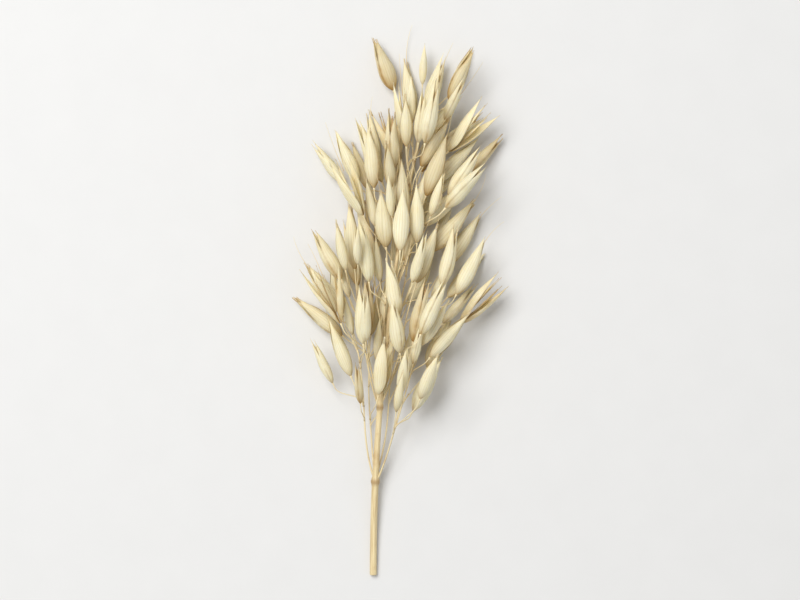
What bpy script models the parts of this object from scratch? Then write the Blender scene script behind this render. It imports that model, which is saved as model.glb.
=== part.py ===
"""A dried oat head, cut with a short length of straw, lying on a flat surface.

The straw runs on as the rachis, which bears a whorl of thread-like branches at each of its nodes. Straw,
rachis and branches grew in one piece and are one solid. Each branch ends in a spikelet, and the longer
ones bear more on side threads. A spikelet is a pair of husks, closed on each other or gaping at the tip.

Metres, +Z up. The head points along +Y and rests on the plane Z = 0.
"""

import itertools
import math
import random

import bmesh
import bpy
import numpy as np
from mathutils import Matrix, Vector

# Straw and rachis
STRAW_LENGTH = 0.038
STRAW_RADIUS = 0.0014
STRAW_BORE = 0.0009
STRAW_BORE_DEPTH = 0.015
RACHIS_TOP_RADIUS = 0.00045
FIRST_INTERNODE = 0.030
INTERNODE_RATIO = 0.83
RACHIS_HEIGHT = 0.0115
BOW = 0.018
NOD = 0.0025
RACHIS_TAPER = 0.8
NODE_SWELL = 0.35
NODE_REACH = 0.0016

# Branches. LOADS holds, for each whorl from the lowest up, the number of spikelets on each of its branches.
LOADS = (
    (4, 2, 3, 2, 3),
    (3, 2, 3, 2),
    (3, 2, 2, 1),
    (3, 1, 2, 1),
    (2, 2, 2),
    (2, 1, 1),
    (2, 1),
    (2, 1),
    (1,),
)
LONGEST_BRANCH = 0.084
BRANCH_SHRINK = 0.85
BARE_BRANCH_SHARE = 0.40
SHARE_PER_SPIKELET = 0.15
BRANCH_SPREAD = math.radians(14)
TOP_BRANCH_SPREAD = math.radians(4)
SIDE_THREAD_LENGTH = (0.009, 0.016)
SIDE_THREAD_ANGLE = (12, 30)
FIRST_FORK = 0.42
FORK_RUN = 0.42
THREAD_RADIUS = 0.00040
SIDE_THREAD_RADIUS = 0.00031
THREAD_SPACING = 0.011
SIDE_THREAD_SPACING = 0.006
LOWEST_THREAD = 1.3 * THREAD_RADIUS
CUP_RADIUS = 0.00058
CUP_LENGTH = 0.0016
LEAVE_ANGLE = math.radians(24)
ARRIVE_PULL = 0.8
WHORL_STAGGER = 0.0007
GOLDEN_ANGLE = math.radians(137.5)
AXIS_STEP = 0.0005
FORK_STEP = 0.02
FORK_CLEAR = 0.4
FEWEST_POINTS = 4
STRAW_ROUNDNESS = 3
THREAD_ROUNDNESS = 1
BORE_SIDES = 10
BORE_AIM = 0.001
MERGE_DISTANCE = 1e-6

# Spikelets
HUSK_LENGTH = 0.0262
HUSK_WIDTH = 0.0078
HUSK_THICKNESS = 0.0060
SHORT_HUSK = 0.95
RING_SIDES = 8
GAPES = (7, 9, 6, 20, 8, 10, 7, 34, 9, 6, 14, 8, 7, 24, 9, 8, 12, 7, 44, 8, 10, 16, 7)
WIDE_GAPE = 18
CLOSED_SPLIT = 0.56
OPEN_SPLIT = 0.20
CLOSED_BODY_STEPS = (0.03, 0.14, 0.30, 0.45)
OPEN_BODY_STEPS = (0.03, 0.11)
CLOSED_FREE_STEPS = (0.36, 0.68)
OPEN_FREE_STEPS = (0.20, 0.42, 0.64, 0.84)
MAIN_SIZES = (0.90, 1.08)
SIDE_SIZES = (0.88, 1.04)
BASE_FULLNESS = 0.75
TIP_FULLNESS = 1.15
SEAT_GAP = 0.0003

# How the head lies
HALF_WIDTH = 0.023
FLATTEN = 0.50
DROOP = 0.62
SETTLE = 0.0012
CLEARANCE = 0.00040
GUARD_MARGIN = 0.0001
GUARD_RUN = (0.05, 0.97)
GUARD_COUNT = 10
PARTED = 0.0008
TRIES = 1500
FIRST_REACH = 0.35
ROUTE_SAMPLES = 24
RACHIS_SAMPLES = 60
SAMPLES_AT_SEAT = 3
FAR = 1.0
SEED = 18

# How far the draws scatter. A pair is the scatter at no reach and what the full reach adds, in degrees.
EDGE_YAW = math.radians(15)
MEAN_PITCH = math.radians(-1)
YAW_SCATTER = (6, 8)
PITCH_SCATTER = (4, 6)
SIDE_PITCH_SCATTER = (10, 25)
OPEN_ROLL_SCATTER = 0.35
LENGTH_SCATTER = 0.22
SPREAD_SCATTER = 8
AROUND_SCATTER = 50
OUTWARD = 1.15
SIDE_LENGTH_REACH = 0.012
SIDE_ANGLE_REACH = 35
SIDE_BEND = 0.25

# Plain finishes
STRAW_COLOUR, STRAW_ROUGHNESS = (0.72, 0.58, 0.34), 0.55
HUSK_COLOUR, HUSK_ROUGHNESS = (0.86, 0.79, 0.60), 0.6


def heading(yaw, pitch):
    """Unit vector that starts along +Y, turned by yaw towards +X and by pitch upwards."""
    return np.array(
        [math.sin(yaw) * math.cos(pitch), math.cos(yaw) * math.cos(pitch), math.sin(pitch)]
    )


def unit(vector):
    return vector / np.linalg.norm(vector)


# ---------------------------------------------------------------- rachis


def whorl_stations():
    """Distance of each whorl from the straw's cut end: internodes shrink by a fixed ratio."""
    steps = FIRST_INTERNODE * INTERNODE_RATIO ** np.arange(len(LOADS) - 1)
    return STRAW_LENGTH + np.concatenate([[0.0], np.cumsum(steps)])


STATIONS = whorl_stations()
TOP = STATIONS[-1]


def rachis_point(y):
    """Point of the centre line. It rises off the surface over the straw, bows to +X and nods at the top."""
    rise = min(y / STATIONS[2], 1.0)
    rise = rise * rise * (3 - 2 * rise)
    nod = NOD * (max(0.0, y - STATIONS[3]) / (TOP - STATIONS[3])) ** 2
    z = STRAW_RADIUS + (RACHIS_HEIGHT - STRAW_RADIUS) * rise - nod
    return np.array([BOW * (y / TOP) ** 2, y, z])


def rachis_axis(y):
    return unit(rachis_point(y + AXIS_STEP) - rachis_point(y - AXIS_STEP))


def rachis_radius(y):
    """Tapers from the whorls up, with a swelling at each node."""
    share = max(0.0, (y - STRAW_LENGTH) / (TOP - STRAW_LENGTH))
    plain = STRAW_RADIUS + (RACHIS_TOP_RADIUS - STRAW_RADIUS) * share**RACHIS_TAPER
    nearest = np.abs(STATIONS - y).min()
    return plain * (1 + NODE_SWELL * math.exp(-((nearest / NODE_REACH) ** 2)))


# ---------------------------------------------------------------- threads


def route(root, root_axis, seat, seat_axis, shares):
    """Points of a thread at these shares of its run: a Hermite curve that leaves root outward from root_axis
    and reaches the cup under the spikelet along the spikelet's own axis."""
    cup = seat - (SEAT_GAP + CUP_LENGTH) * seat_axis
    off = cup - root
    reach = np.linalg.norm(off)
    side = unit(off - off.dot(root_axis) * root_axis)
    leave = reach * (math.cos(LEAVE_ANGLE) * root_axis + math.sin(LEAVE_ANGLE) * side)
    arrive = reach * ARRIVE_PULL * seat_axis
    t = np.asarray(shares)[:, None]
    points = (
        (2 * t**3 - 3 * t**2 + 1) * root
        + (t**3 - 2 * t**2 + t) * leave
        + (3 * t**2 - 2 * t**3) * cup
        + (t**3 - t**2) * arrive
    )
    points[:, 2] = np.maximum(points[:, 2], LOWEST_THREAD)
    return points


def branch_length(whorl, load):
    """A whorl's branches are shorter than those of the whorl below, and longer where they bear more."""
    return LONGEST_BRANCH * BRANCH_SHRINK**whorl * (BARE_BRANCH_SHARE + SHARE_PER_SPIKELET * load)


def fork_share(order, load):
    """Where along the main thread the side thread of this order leaves it."""
    return FIRST_FORK + FORK_RUN * (order - 1) / max(load - 1, 1)


# ---------------------------------------------------------------- spikelets


def fullness(u):
    """Profile of a spikelet from its base, u = 0, to its tip, u = 1: u^a (1 - u)^b over its greatest value,
    which it has at u = a / (a + b)."""
    fullest = BASE_FULLNESS / (BASE_FULLNESS + TIP_FULLNESS)
    greatest = fullest**BASE_FULLNESS * (1 - fullest) ** TIP_FULLNESS
    return u**BASE_FULLNESS * (1 - u) ** TIP_FULLNESS / greatest


def split_of(gape):
    return OPEN_SPLIT if gape >= WIDE_GAPE else CLOSED_SPLIT


def spikelet_rings(length, gape):
    """(rings of the common body, rings of each husk's free part) in the spikelet's own frame, base at the
    origin and tip along +Y. The first husk turns towards +Z, the second towards -Z."""
    split = split_of(gape)
    wide = gape >= WIDE_GAPE
    body_steps = (*(OPEN_BODY_STEPS if wide else CLOSED_BODY_STEPS), split)
    free_steps = OPEN_FREE_STEPS if wide else CLOSED_FREE_STEPS
    angles = 2 * np.pi * np.arange(RING_SIDES) / RING_SIDES

    def ring(u, y, which, lift):
        half_w, half_t = HUSK_WIDTH / 2 * fullness(u), HUSK_THICKNESS / 2 * fullness(u)
        return np.column_stack(
            [half_w * np.cos(which), np.full(len(which), y * length), half_t * np.sin(which) + lift]
        )

    body = [ring(u, u, angles, 0.0) for u in body_steps]
    husks = []
    for sign, end in ((1, 1.0), (-1, SHORT_HUSK)):
        arc = angles[: RING_SIDES // 2 + 1] + (0 if sign > 0 else math.pi)
        spread = sign * math.tan(math.radians(gape / 2)) * (1 - split) * length
        rings = []
        for share in free_steps:
            outer = ring(split + share * (1 - split), split + share * (end - split), arc, share * spread)
            rings.append(np.vstack([outer, outer[[0, -1]].mean(axis=0)]))
        husks.append((rings, np.array([0.0, end * length, spread])))
    return body, husks


def loft(bm, lower, upper):
    """Quads between two closed rings of the same count."""
    count = len(lower)
    for i in range(count):
        j = (i + 1) % count
        bm.faces.new((lower[i], upper[i], upper[j], lower[j]))


def fan(bm, ring, apex, flip):
    for i in range(len(ring)):
        corners = (ring[i], apex, ring[(i + 1) % len(ring)])
        bm.faces.new(corners[::-1] if flip else corners)


def spikelet_mesh(name, length, gape):
    """Closed body: a spindle from the base to the split, and from there two separate husks to their tips."""
    bm = bmesh.new()
    body, husks = spikelet_rings(length, gape)
    rings = [[bm.verts.new(p) for p in ring] for ring in body]
    fan(bm, rings[0], bm.verts.new((0, 0, 0)), flip=True)
    for lower, upper in zip(rings, rings[1:]):
        loft(bm, lower, upper)
    half = RING_SIDES // 2
    top = rings[-1]
    crotch = bm.verts.new((top[0].co + top[half].co) / 2)
    for first, (free_rings, tip) in zip((0, half), husks):
        lower = [top[(first + i) % RING_SIDES] for i in range(half + 1)] + [crotch]
        for points in free_rings:
            upper = [bm.verts.new(p) for p in points]
            loft(bm, lower, upper)
            lower = upper
        fan(bm, lower, bm.verts.new(tip), flip=False)
    bmesh.ops.recalc_face_normals(bm, faces=bm.faces)
    mesh = bpy.data.meshes.new(name)
    bm.to_mesh(mesh)
    bm.free()
    mesh.shade_smooth()
    return mesh


def guard_spheres(length, gape):
    """Spheres that hold a spikelet, in its own frame, as (centres, radii). They keep neighbours apart."""
    split = split_of(gape)
    centres, radii = [], []
    for u in np.linspace(*GUARD_RUN, GUARD_COUNT):
        beyond = max(0.0, u - split)
        lift = math.tan(math.radians(gape / 2)) * beyond * length
        for sign in (1, -1) if lift > PARTED else (0,):
            centres.append((0.0, u * length, sign * lift))
            radii.append(HUSK_WIDTH / 2 * float(fullness(u)) + GUARD_MARGIN)
    return np.array(centres), np.array(radii)


# ---------------------------------------------------------------- layout


class Spikelet:
    """Where one spikelet sits: its seat, its axis, its roll about that axis, its length and its gape."""

    def __init__(self, name, length, gape):
        self.name = name
        self.length = length
        self.gape = gape
        self.centres, self.radii = guard_spheres(length, gape)
        body, husks = spikelet_rings(length, gape)
        husk_rings = [ring for rings, _ in husks for ring in rings]
        self.outline = np.vstack([*body, *husk_rings, *[tip[None] for _, tip in husks]])

    def place(self, seat, axis, roll, root, root_axis):
        """Sets it down and returns its thread's route. Near the surface, or below it, it rests on it."""
        level = unit(np.cross(axis, (0, 0, 1)))
        upright = np.cross(level, axis)
        across = math.cos(roll) * level + math.sin(roll) * upright
        self.turn = np.column_stack([across, axis, np.cross(across, axis)])
        lowest = (self.outline @ self.turn.T)[:, 2].min() + seat[2]
        drop = lowest if lowest < SETTLE else 0.0
        self.seat, self.axis = seat - np.array([0, 0, drop]), axis
        self.guard = self.centres @ self.turn.T + self.seat
        self.root, self.root_axis = root, root_axis
        return self.thread_points(np.linspace(0, 1, ROUTE_SAMPLES))

    def thread_points(self, shares):
        return route(self.root, self.root_axis, self.seat, self.axis, shares)


class Crowd:
    """Spheres that are already taken, by spikelets or by threads."""

    def __init__(self):
        self.points = np.zeros((0, 3))
        self.radii = np.zeros(0)

    def add(self, points, radii):
        self.points = np.vstack([self.points, points])
        self.radii = np.concatenate([self.radii, radii])

    def gap(self, points, radii):
        """Smallest gap from these spheres to the ones that are taken."""
        if not len(self.radii):
            return FAR
        between = np.linalg.norm(points[:, None] - self.points[None], axis=2)
        return (between - radii[:, None] - self.radii[None]).min()


def settle_in(spikelet, draw, thread_radius, bodies, threads):
    """Places the spikelet at the first drawn place that keeps clear of what is there, or else at the best.
    The draws reach further afield as they go on. Returns the gap that is left."""
    best = (-1.0, None)
    own = np.full(ROUTE_SAMPLES, thread_radius)
    for attempt in range(TRIES):
        place = draw(FIRST_REACH + (1 - FIRST_REACH) * attempt / TRIES)
        path = spikelet.place(*place)
        gap = bodies.gap(spikelet.guard, spikelet.radii)
        if gap > best[0]:
            gap = min(gap, threads.gap(spikelet.guard, spikelet.radii), bodies.gap(path, own))
        if gap > best[0]:
            best = (gap, place)
        if gap >= CLEARANCE:
            break
    path = spikelet.place(*best[1])
    bodies.add(spikelet.guard, spikelet.radii)
    threads.add(path[:-SAMPLES_AT_SEAT], own[:-SAMPLES_AT_SEAT])
    return best[0]


def scatter(pair, reach):
    """The scatter of a draw at this reach, in radians."""
    return math.radians(pair[0] + pair[1] * reach)


def lie_of(rng, seat_x, bend, gape, reach):
    """(axis, roll) of a spikelet that lies in the head at this distance from the rachis."""
    outward = EDGE_YAW * seat_x / HALF_WIDTH
    yaw = bend + outward + rng.gauss(0, scatter(YAW_SCATTER, reach))
    pitch = rng.gauss(MEAN_PITCH, scatter(PITCH_SCATTER, reach))
    if gape < WIDE_GAPE:
        return heading(yaw, pitch), rng.uniform(0, math.pi)
    return heading(yaw, pitch), math.pi / 2 + rng.gauss(0, OPEN_ROLL_SCATTER)


def main_candidate(rng, whorl, branch, load, gape):
    """Returns a function that draws one place for the spikelet at the end of a main thread."""
    around = GOLDEN_ANGLE * whorl + 2 * math.pi * branch / len(LOADS[whorl])
    last = whorl == len(LOADS) - 1

    def draw(reach):
        start = STATIONS[whorl] + WHORL_STAGGER * (branch - len(LOADS[whorl]) / 2)
        root, root_axis = rachis_point(start), rachis_axis(start)
        length = branch_length(whorl, load) * (1 + reach * rng.uniform(-LENGTH_SCATTER, LENGTH_SCATTER))
        spread = TOP_BRANCH_SPREAD
        if not last:
            off = rng.uniform(-SPREAD_SCATTER, SPREAD_SCATTER)
            spread = BRANCH_SPREAD + reach * math.radians(off)
        angle = around + rng.gauss(0, math.radians(AROUND_SCATTER * reach))
        along = start + length * math.cos(spread)
        out = min(length * math.sin(spread) * OUTWARD, HALF_WIDTH)
        centre = rachis_point(min(along, TOP)) + max(0.0, along - TOP) * rachis_axis(TOP)
        x = out * math.cos(angle)
        sag = 1 - DROOP * (x / HALF_WIDTH) ** 2
        z = centre[2] * sag + FLATTEN * out * math.sin(angle)
        bend = math.atan2(rachis_axis(TOP)[0], rachis_axis(TOP)[1]) * min(along / TOP, 1.0)
        axis, roll = lie_of(rng, x, bend, gape, reach)
        return np.array([centre[0] + x, centre[1], z]), axis, roll, root, root_axis

    return draw


def side_candidate(rng, main, order, load, gape):
    """Returns a function that draws one place for a spikelet on a side thread of the main one."""
    fork = fork_share(order, load)
    before, root, after = main.thread_points([fork - FORK_STEP, fork, fork + FORK_STEP])
    root_axis = unit(after - before)

    def draw(reach):
        shortest, longest = SIDE_THREAD_LENGTH
        length = rng.uniform(shortest, longest + SIDE_LENGTH_REACH * reach)
        least, most = SIDE_THREAD_ANGLE
        side = rng.choice((-1, 1)) * math.radians(rng.uniform(least, most + SIDE_ANGLE_REACH * reach))
        yaw = math.atan2(root_axis[0], root_axis[1]) + side
        pitch = math.asin(root_axis[2]) + rng.gauss(0, scatter(SIDE_PITCH_SCATTER, reach))
        seat = root + length * heading(yaw, pitch)
        off_axis = seat[0] - rachis_point(min(seat[1], TOP))[0]
        axis, roll = lie_of(rng, off_axis, SIDE_BEND * yaw, gape, reach)
        return seat, axis, roll, root, root_axis

    return draw


def lay_out():
    """All spikelets in their places: first those that end the main threads, then those on side threads."""
    rng = random.Random(SEED)
    gapes = itertools.cycle(GAPES)
    rachis_run = np.linspace(0.5 * STRAW_LENGTH, TOP, RACHIS_SAMPLES)
    rachis = np.array([rachis_point(y) for y in rachis_run])
    bodies, threads = Crowd(), Crowd()
    threads.add(rachis, np.array([rachis_radius(y) for y in rachis_run]))
    mains, sides, tightest = {}, [], FAR
    for whorl, loads in reversed(list(enumerate(LOADS))):
        for branch, load in enumerate(loads):
            size = HUSK_LENGTH * rng.uniform(*MAIN_SIZES)
            spikelet = Spikelet(f"spikelet_{whorl + 1}{'abcde'[branch]}1", size, next(gapes))
            draw = main_candidate(rng, whorl, branch, load, spikelet.gape)
            tightest = min(tightest, settle_in(spikelet, draw, THREAD_RADIUS, bodies, threads))
            spikelet.forks = [fork_share(order, load) for order in range(1, load)]
            mains[whorl, branch] = spikelet
    for (whorl, branch), main in mains.items():
        load = LOADS[whorl][branch]
        for order in range(1, load):
            size = HUSK_LENGTH * rng.uniform(*SIDE_SIZES)
            name = f"spikelet_{whorl + 1}{'abcde'[branch]}{order + 1}"
            spikelet = Spikelet(name, size, next(gapes))
            draw = side_candidate(rng, main, order, load, spikelet.gape)
            tightest = min(tightest, settle_in(spikelet, draw, SIDE_THREAD_RADIUS, bodies, threads))
            sides.append(spikelet)
    print(f"{len(mains) + len(sides)} spikelets, tightest gap {tightest * 1000:.2f} mm")
    return list(mains.values()), sides


# ---------------------------------------------------------------- Blender objects


def material(name, colour, roughness):
    made = bpy.data.materials.new(name)
    made.use_nodes = True
    shader = made.node_tree.nodes["Principled BSDF"]
    shader.inputs["Base Color"].default_value = (*colour, 1.0)
    shader.inputs["Roughness"].default_value = roughness
    shader.inputs["Metallic"].default_value = 0.0
    return made


def link(obj, parent=None):
    bpy.context.scene.collection.objects.link(obj)
    obj.parent = parent
    return obj


def tube(name, points, radii, resolution):
    """A mesh object along a poly curve, with a radius for each point and filled caps."""
    curve = bpy.data.curves.new(name, "CURVE")
    curve.dimensions = "3D"
    curve.bevel_depth = 1.0
    curve.bevel_resolution = resolution
    curve.use_fill_caps = True
    spline = curve.splines.new("POLY")
    spline.points.add(len(points) - 1)
    for point, co, radius in zip(spline.points, points, radii):
        point.co = (*co, 1.0)
        point.radius = radius
    holder = link(bpy.data.objects.new(name + "_curve", curve))
    graph = bpy.context.evaluated_depsgraph_get()
    mesh = bpy.data.meshes.new_from_object(holder.evaluated_get(graph))
    bpy.data.objects.remove(holder)
    bm = bmesh.new()
    bm.from_mesh(mesh)
    bmesh.ops.remove_doubles(bm, verts=bm.verts, dist=MERGE_DISTANCE)
    bmesh.ops.recalc_face_normals(bm, faces=bm.faces)
    bm.to_mesh(mesh)
    bm.free()
    return link(bpy.data.objects.new(name, mesh))


def thread(spikelet, radius, spacing, forks):
    """The thread that bears a spikelet, up to the cup under its base. Each fork is one of its points, so the
    side thread that leaves there starts inside it."""
    reach = np.linalg.norm(spikelet.seat - spikelet.root)
    even = np.linspace(0, 1, max(FEWEST_POINTS, round(reach / spacing)))
    nearest_fork = np.abs(even[:, None] - np.array([*forks, -1.0])).min(axis=1)
    kept = (nearest_fork > FORK_CLEAR / len(even)) | (even == 0) | (even == 1)
    shares = sorted([*even[kept], *forks])
    path = spikelet.thread_points(shares)
    end = spikelet.seat - SEAT_GAP * spikelet.axis
    radii = [radius] * len(shares) + [CUP_RADIUS]
    return tube("thread_" + spikelet.name, [*path, end], radii, THREAD_ROUNDNESS)


def straw_with_branches(mains, sides, finish):
    """Straw, rachis and threads, joined into one solid, with the straw's hollow open at its cut end."""
    samples = [0.0, STRAW_LENGTH * 0.5]
    for station, following in zip(STATIONS, [*STATIONS[1:], TOP]):
        samples += [station - 2 * NODE_REACH, station, station + 2 * NODE_REACH]
        samples.append((station + following) / 2)
    samples = sorted(y for y in set(samples) if y <= TOP)
    straw = tube(
        "straw_and_branches",
        [rachis_point(y) for y in samples],
        [rachis_radius(y) for y in samples],
        STRAW_ROUNDNESS,
    )
    helpers = bpy.data.collections.new("threads_to_join")
    bpy.context.scene.collection.children.link(helpers)
    threads = [thread(spikelet, THREAD_RADIUS, THREAD_SPACING, spikelet.forks) for spikelet in mains]
    threads += [thread(spikelet, SIDE_THREAD_RADIUS, SIDE_THREAD_SPACING, []) for spikelet in sides]
    for piece in threads:
        bpy.context.scene.collection.objects.unlink(piece)
        helpers.objects.link(piece)
    join = straw.modifiers.new("join_threads", "BOOLEAN")
    join.operation = "UNION"
    join.operand_type = "COLLECTION"
    join.collection = helpers
    bore_axis = Vector(rachis_axis(BORE_AIM))
    bpy.ops.mesh.primitive_cylinder_add(
        vertices=BORE_SIDES,
        radius=STRAW_BORE,
        depth=2 * STRAW_BORE_DEPTH,
        location=rachis_point(0.0),
        rotation=bore_axis.to_track_quat("Z", "Y").to_euler(),
    )
    bore = bpy.context.object
    bore.name = "straw_bore"
    hollow = straw.modifiers.new("open_hollow", "BOOLEAN")
    hollow.operation = "DIFFERENCE"
    hollow.object = bore
    graph = bpy.context.evaluated_depsgraph_get()
    joined = bpy.data.meshes.new_from_object(straw.evaluated_get(graph))
    straw.modifiers.clear()
    straw.data = joined
    joined.materials.clear()
    joined.materials.append(finish)
    joined.shade_smooth()
    for helper in [*helpers.objects, bore]:
        bpy.data.objects.remove(helper)
    bpy.data.collections.remove(helpers)
    return straw


def centre_on_origin(root, objects):
    """Moves the whole head so that the middle of its underside is the origin."""
    bpy.context.view_layer.update()
    corners = np.array([obj.matrix_world @ v.co for obj in objects for v in obj.data.vertices])
    low, high = corners.min(axis=0), corners.max(axis=0)
    root.location = (-(low[0] + high[0]) / 2, -(low[1] + high[1]) / 2, -low[2])


def main():
    for obj in list(bpy.data.objects):
        bpy.data.objects.remove(obj)
    straw_finish = material("straw", STRAW_COLOUR, STRAW_ROUGHNESS)
    husk_finish = material("husk", HUSK_COLOUR, HUSK_ROUGHNESS)
    head = link(bpy.data.objects.new("oat_head", None))
    mains, sides = lay_out()
    straw = straw_with_branches(mains, sides, straw_finish)
    straw.parent = head
    objects = [straw]
    for spikelet in [*mains, *sides]:
        mesh = spikelet_mesh(spikelet.name, spikelet.length, spikelet.gape)
        mesh.materials.append(husk_finish)
        obj = link(bpy.data.objects.new(spikelet.name, mesh), head)
        obj.matrix_basis = Matrix.Translation(spikelet.seat) @ Matrix(spikelet.turn).to_4x4()
        objects.append(obj)
    centre_on_origin(head, objects)


if __name__ == "__main__":
    main()
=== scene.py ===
# %% [markdown]
# # A dried oat head, finished
#
# The head is already a set of plain solids: one for the straw with all its branches, and one for each
# spikelet. This lesson gives them their real surfaces. Each plain spikelet tells us where it sits, which
# way it points and how far its husks gape, and thin papery husks are built in its place. The straw and
# the branches are swept again along the same routes, with the nodes, ribs and cups that the real ones
# have.

# %% Load the frame
import math
import random

import bpy
import numpy as np
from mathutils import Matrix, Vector


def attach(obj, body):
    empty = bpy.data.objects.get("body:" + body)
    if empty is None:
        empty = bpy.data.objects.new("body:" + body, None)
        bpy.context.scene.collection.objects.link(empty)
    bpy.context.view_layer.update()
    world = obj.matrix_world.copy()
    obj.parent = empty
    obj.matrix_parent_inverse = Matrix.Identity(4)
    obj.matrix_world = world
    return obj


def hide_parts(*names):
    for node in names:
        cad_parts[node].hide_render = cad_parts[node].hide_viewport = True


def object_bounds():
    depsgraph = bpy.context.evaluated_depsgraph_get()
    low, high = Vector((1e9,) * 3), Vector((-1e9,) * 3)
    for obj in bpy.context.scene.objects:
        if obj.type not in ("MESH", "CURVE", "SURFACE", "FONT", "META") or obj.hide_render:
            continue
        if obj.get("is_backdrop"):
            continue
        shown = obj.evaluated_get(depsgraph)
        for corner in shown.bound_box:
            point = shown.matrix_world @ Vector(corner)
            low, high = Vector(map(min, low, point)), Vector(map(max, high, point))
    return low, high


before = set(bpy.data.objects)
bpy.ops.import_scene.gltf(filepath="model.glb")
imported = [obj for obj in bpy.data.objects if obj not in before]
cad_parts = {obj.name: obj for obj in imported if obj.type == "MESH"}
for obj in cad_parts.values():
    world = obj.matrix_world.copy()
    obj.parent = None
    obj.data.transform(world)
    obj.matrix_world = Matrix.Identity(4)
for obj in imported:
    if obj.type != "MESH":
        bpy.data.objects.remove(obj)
cad_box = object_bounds()
SPIKELETS = sorted(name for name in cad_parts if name.startswith("spikelet_"))
print(len(SPIKELETS), "spikelets, box", [round(1000 * s, 1) for s in cad_box[1] - cad_box[0]], "mm")

# %% [markdown]
# ## Arithmetic on shader sockets
#
# A finish is easier to read as a sum than as a drawing of nodes. `Wire` holds one output socket, and
# adding or multiplying wires adds the Math node that does it. Everything else comes from one method,
# `Finish.add`, which takes the node's type, its settings and what goes into its sockets.

# %% Wires and finishes


class Wire:
    """One output socket of a finish, that can stand in arithmetic."""

    def __init__(self, finish, socket):
        self.finish = finish
        self.socket = socket

    def maths(self, operation, first, second=0.0, clamp=False):
        settings = {"operation": operation, "use_clamp": clamp}
        return self.finish.add("ShaderNodeMath", settings, {0: first, 1: second})

    def __add__(self, other):
        return self.maths("ADD", self, other)

    def __sub__(self, other):
        return self.maths("SUBTRACT", self, other)

    def __rsub__(self, other):
        return self.maths("SUBTRACT", other, self)

    def __mul__(self, other):
        return self.maths("MULTIPLY", self, other)

    def __pow__(self, other):
        return self.maths("POWER", self, other)

    def cosine(self):
        return self.maths("COSINE", self)

    def size(self):
        return self.maths("ABSOLUTE", self)

    def held(self):
        """Held between 0 and 1."""
        return self.maths("ADD", self, 0.0, clamp=True)


class Finish:
    """A material being built: its Principled shader and the nodes that feed it."""

    def __init__(self, name):
        self.material = bpy.data.materials.new(name)
        self.material.use_nodes = True
        self.nodes = self.material.node_tree.nodes
        self.links = self.material.node_tree.links
        self.shader = self.nodes["Principled BSDF"]

    def feed(self, socket, value):
        """Links a wire to a socket, or sets a plain value on it."""
        if isinstance(value, Wire):
            self.links.new(value.socket, socket)
        else:
            socket.default_value = (*value, 1.0) if socket.type == "RGBA" else value

    def add(self, kind, settings=None, inputs=None, output=0):
        """Adds a node, sets it up, feeds its sockets, and returns one of its outputs as a wire."""
        node = self.nodes.new(kind)
        for key, value in (settings or {}).items():
            setattr(node, key, value)
        for key, value in (inputs or {}).items():
            self.feed(node.inputs[key], value)
        return Wire(self, node.outputs[output])

    def blend(self, share, first, second):
        """Mixes two colours: share 0 is the first, share 1 the second."""
        settings = {"data_type": "RGBA", "clamp_factor": True}
        return self.add("ShaderNodeMix", settings, {0: share, 6: first, 7: second}, output=2)

    def noise(self, vector, scale, detail=3.0, roughness=0.55):
        inputs = {"Vector": vector, "Scale": scale, "Detail": detail, "Roughness": roughness}
        return self.add("ShaderNodeTexNoise", None, inputs)

    def vector(self, x, y, z):
        return self.add("ShaderNodeCombineXYZ", None, {0: x, 1: y, 2: z})

    def stretch(self, scales, *wires):
        """A vector of three wires, each times a scale of its own."""
        return self.vector(*[wire * scale for wire, scale in zip(wires, scales)])

    def run(self):
        """The piece's own map: how far along the piece, and how far across it, both from 0 to 1."""
        uv = self.add("ShaderNodeUVMap", {"uv_map": "run"})
        along = self.add("ShaderNodeSeparateXYZ", None, {0: uv}, output=0)
        across = self.add("ShaderNodeSeparateXYZ", None, {0: uv}, output=1)
        return along, across

    def attribute(self, name):
        settings = {"attribute_name": name, "attribute_type": "GEOMETRY"}
        return self.add("ShaderNodeAttribute", settings, output=2)

    def place(self):
        return self.add("ShaderNodeTexCoord", output=3)

    def bump(self, height, distance, strength):
        inputs = {"Height": height, "Distance": distance, "Strength": strength}
        return self.add("ShaderNodeBump", None, inputs)

    def finish(self, **inputs):
        """Feeds the Principled shader. A name's underscores stand for spaces."""
        for key, value in inputs.items():
            self.feed(self.shader.inputs[key.replace("_", " ")], value)
        return self.material


# %% [markdown]
# ## Husk
#
# A dry oat husk is a sheet of paper-thin tissue with seven to eleven nerves from base to tip. It is
# ivory along its middle; tan painted along its edges and at its base stands for shade, and it darkens
# towards its tip. Its nerves are fine and never quite parallel. One smooth colour would look like
# plastic, so several things vary: blotches a few millimetres wide across the whole head, fibres drawn
# out along the husk, a few dark specks, and a hue of its own for every spikelet, from greenish through
# ivory to tan. Painted shade also browns the spikelets that sit low and the husks inside them.

# %% Colours of the husks
IVORY = (0.91, 0.81, 0.53)
STRAW_YELLOW = (0.84, 0.67, 0.35)
GREENISH = (0.77, 0.73, 0.43)
NERVE = (0.64, 0.48, 0.21)
# Tan for painted shade on the husks; on the straw it is the colour of real blotches.
TAN_FOR_SHADE_AND_BLOTCHES = (0.45, 0.26, 0.085)
BLEACHED = (0.95, 0.88, 0.64)
SPECK = (0.20, 0.13, 0.07)
NERVES = 9
NERVE_SWAY, NERVE_SHARPNESS = 0.11, 5
FIBRE_SCALES = (46, 2.2, 90)
SWAY_SCALES = (3, 1.6, 70)
BLOTCH_SCALE, SPECK_SCALE = 170.0, 1100.0
HUSK_BUMP = 0.00005
# Painted shade: husks inside a spikelet lean to tan for the shade they lie in; outer husks get none.
HUSK_PAINTED_SHADE, INNER_PAINTED_SHADE = 0.0, 0.34
HUSK_NERVES, INNER_NERVES = 0.40, 0.30


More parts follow.
